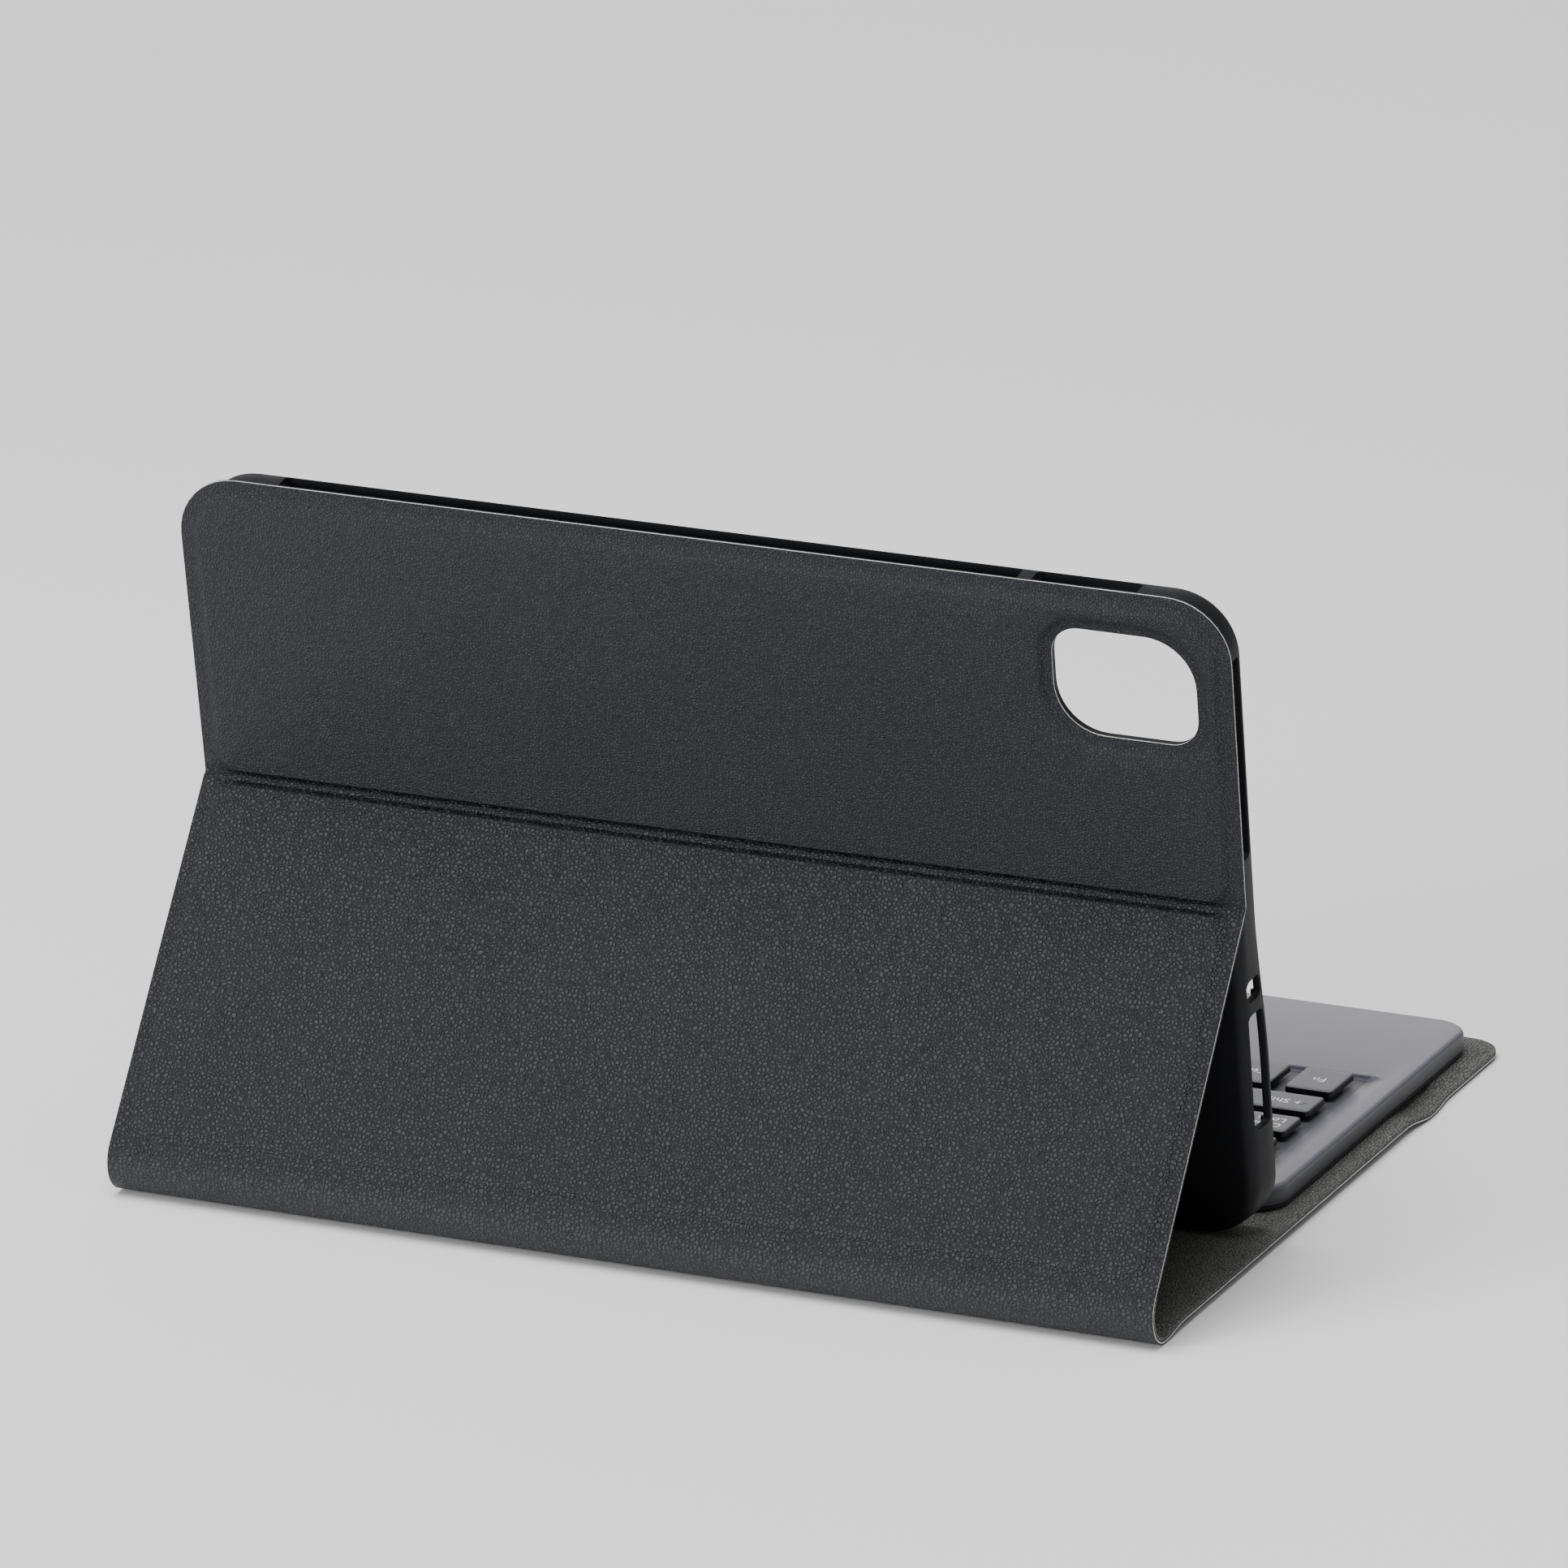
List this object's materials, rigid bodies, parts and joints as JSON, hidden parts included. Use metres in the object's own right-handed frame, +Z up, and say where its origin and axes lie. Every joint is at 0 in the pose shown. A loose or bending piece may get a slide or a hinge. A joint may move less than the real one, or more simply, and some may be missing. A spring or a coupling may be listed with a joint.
{
  "type": "tablet keyboard case",
  "caption": "Leather folio that folds into a stand, with a moulded tray for a tablet, a camera hole and a thin detachable keyboard lying on the front cover.",
  "frame": {"origin": "under the middle of the case's bounding box, on the surface it stands on", "axes": "+X to the user's right along the case's width, -Y towards the user, +Z up"},
  "size_m": [0.258, 0.2258, 0.162],
  "materials": {
    "smooth_leather": "charcoal, fine pebble grain, low sheen",
    "grained_leather": "charcoal, coarser pebble grain",
    "lining": "warm grey pebbled microfibre",
    "stiff_board": "pressed board",
    "tray_tpu": "matte black moulded",
    "keyboard_plastic": "fine satin texture, grey",
    "keyboard_base": "satin dark grey",
    "key_plastic": "satin grey top, gloss black skirt",
    "plate_steel": "black painted sheet",
    "membrane_film": "dark film",
    "scissor_plastic": "natural white",
    "dome_rubber": "milky silicone",
    "battery_foil": "foil pouch",
    "circuit_board": "green solder mask",
    "socket_steel": "drawn shell",
    "lens": "clear diffuser",
    "magnet_metal": "nickel plated",
    "screw_steel": "zinc plated"
  },
  "bodies": {
    "front_cover": {"front_skin": "smooth_leather", "front_board": "stiff_board", "front_lining": "lining", "cover_magnets": "magnet_metal"},
    "flap": {"flap_skin": "smooth_leather", "flap_board": "stiff_board", "flap_lining": "lining", "flap_magnets": "magnet_metal"},
    "spine_lower": {"spine_skin_lower": "grained_leather", "spine_lining_lower": "lining"},
    "spine_upper": {"spine_skin_upper": "grained_leather", "spine_lining_upper": "lining"},
    "lower_panel": {"lower_skin": "grained_leather", "lower_board": "stiff_board", "lower_lining": "lining"},
    "tray": {"upper_skin": "smooth_leather", "upper_board": "stiff_board", "tray_shell": "tray_tpu"},
    "keyboard": {"keyboard_top_case": "keyboard_plastic", "keyboard_bottom_cover": "keyboard_base", "key_plate": "plate_steel", "key_membrane": "membrane_film", "key_scissors": "scissor_plastic", "key_domes": "dome_rubber", "keyboard_batteries": "battery_foil", "keyboard_circuit_board": "circuit_board", "charging_socket": "socket_steel", "status_lens": "lens", "keyboard_magnets": "magnet_metal", "case_screws": "screw_steel"},
    "power_switch": {"power_switch": "keyboard_base"},
    "number_keys": {"number_keys": "key_plastic"},
    "backspace_key": {"backspace_key": "key_plastic"},
    "tab_key": {"tab_key": "key_plastic"},
    "upper_letter_keys": {"upper_letter_keys": "key_plastic"},
    "caps_lock_key": {"caps_lock_key": "key_plastic"},
    "home_letter_keys": {"home_letter_keys": "key_plastic"},
    "enter_key": {"enter_key": "key_plastic"},
    "left_shift_key": {"left_shift_key": "key_plastic"},
    "lower_letter_keys": {"lower_letter_keys": "key_plastic"},
    "right_shift_key": {"right_shift_key": "key_plastic"},
    "fn_key": {"fn_key": "key_plastic"},
    "ctrl_key": {"ctrl_key": "key_plastic"},
    "symbol_keys": {"symbol_keys": "key_plastic"},
    "space_bar": {"space_bar": "key_plastic"},
    "arrow_keys": {"arrow_keys": "key_plastic"}
  },
  "joints": [
    {"name": "spine_fold", "type": "hinge", "parent": "spine_lower", "child": "spine_upper", "pos_m": [0, 0.112, 0.00441], "axis": [1, 0, 0], "range_deg": [-62.45, 0]},
    {"name": "spine_foot_fold", "type": "hinge", "parent": "front_cover", "child": "spine_lower", "pos_m": [0, 0.10473, 0], "axis": [1, 0, 0], "range_deg": [-31.24, 0]},
    {"name": "spine_top_fold", "type": "hinge", "parent": "spine_upper", "child": "lower_panel", "pos_m": [0, 0.11146, 0.01289], "axis": [1, 0, 0], "range_deg": [-31.24, 0]},
    {"name": "crease_fold", "type": "hinge", "parent": "lower_panel", "child": "tray", "pos_m": [0, 0.05863, 0.08625], "axis": [1, 0, 0], "range_deg": [0, 44.91]},
    {"name": "flap_fold", "type": "hinge", "parent": "front_cover", "child": "flap", "pos_m": [0, -0.06093, 0], "axis": [1, 0, 0], "range_deg": [0, 150]},
    {"name": "keyboard_lift", "type": "slide", "parent": "front_cover", "child": "keyboard", "axis": [0, 0, 1], "range_m": [0, 0.05]},
    {"name": "power_slide", "type": "slide", "parent": "keyboard", "child": "power_switch", "axis": [0, 1, 0], "range_m": [0, 0.003]},
    {"name": "number_keys_press", "type": "slide", "parent": "keyboard", "child": "number_keys", "axis": [0, 0, -1], "range_m": [0, 0.001], "stiffness_N_per_m": 600},
    {"name": "backspace_key_press", "type": "slide", "parent": "keyboard", "child": "backspace_key", "axis": [0, 0, -1], "range_m": [0, 0.001], "stiffness_N_per_m": 600},
    {"name": "tab_key_press", "type": "slide", "parent": "keyboard", "child": "tab_key", "axis": [0, 0, -1], "range_m": [0, 0.001], "stiffness_N_per_m": 600},
    {"name": "upper_letter_keys_press", "type": "slide", "parent": "keyboard", "child": "upper_letter_keys", "axis": [0, 0, -1], "range_m": [0, 0.001], "stiffness_N_per_m": 600},
    {"name": "caps_lock_key_press", "type": "slide", "parent": "keyboard", "child": "caps_lock_key", "axis": [0, 0, -1], "range_m": [0, 0.001], "stiffness_N_per_m": 600},
    {"name": "home_letter_keys_press", "type": "slide", "parent": "keyboard", "child": "home_letter_keys", "axis": [0, 0, -1], "range_m": [0, 0.001], "stiffness_N_per_m": 600},
    {"name": "enter_key_press", "type": "slide", "parent": "keyboard", "child": "enter_key", "axis": [0, 0, -1], "range_m": [0, 0.001], "stiffness_N_per_m": 600},
    {"name": "left_shift_key_press", "type": "slide", "parent": "keyboard", "child": "left_shift_key", "axis": [0, 0, -1], "range_m": [0, 0.001], "stiffness_N_per_m": 600},
    {"name": "lower_letter_keys_press", "type": "slide", "parent": "keyboard", "child": "lower_letter_keys", "axis": [0, 0, -1], "range_m": [0, 0.001], "stiffness_N_per_m": 600},
    {"name": "right_shift_key_press", "type": "slide", "parent": "keyboard", "child": "right_shift_key", "axis": [0, 0, -1], "range_m": [0, 0.001], "stiffness_N_per_m": 600},
    {"name": "fn_key_press", "type": "slide", "parent": "keyboard", "child": "fn_key", "axis": [0, 0, -1], "range_m": [0, 0.001], "stiffness_N_per_m": 600},
    {"name": "ctrl_key_press", "type": "slide", "parent": "keyboard", "child": "ctrl_key", "axis": [0, 0, -1], "range_m": [0, 0.001], "stiffness_N_per_m": 600},
    {"name": "symbol_keys_press", "type": "slide", "parent": "keyboard", "child": "symbol_keys", "axis": [0, 0, -1], "range_m": [0, 0.001], "stiffness_N_per_m": 600},
    {"name": "space_bar_press", "type": "slide", "parent": "keyboard", "child": "space_bar", "axis": [0, 0, -1], "range_m": [0, 0.001], "stiffness_N_per_m": 600},
    {"name": "arrow_keys_press", "type": "slide", "parent": "keyboard", "child": "arrow_keys", "axis": [0, 0, -1], "range_m": [0, 0.001], "stiffness_N_per_m": 600}
  ],
  "couplings": [
    {"joint": "spine_foot_fold", "follows": "spine_fold", "ratio": 0.5},
    {"joint": "spine_top_fold", "follows": "spine_fold", "ratio": 0.5},
    {"joint": "crease_fold", "follows": "spine_fold", "ratio": -0.71898}
  ]
}
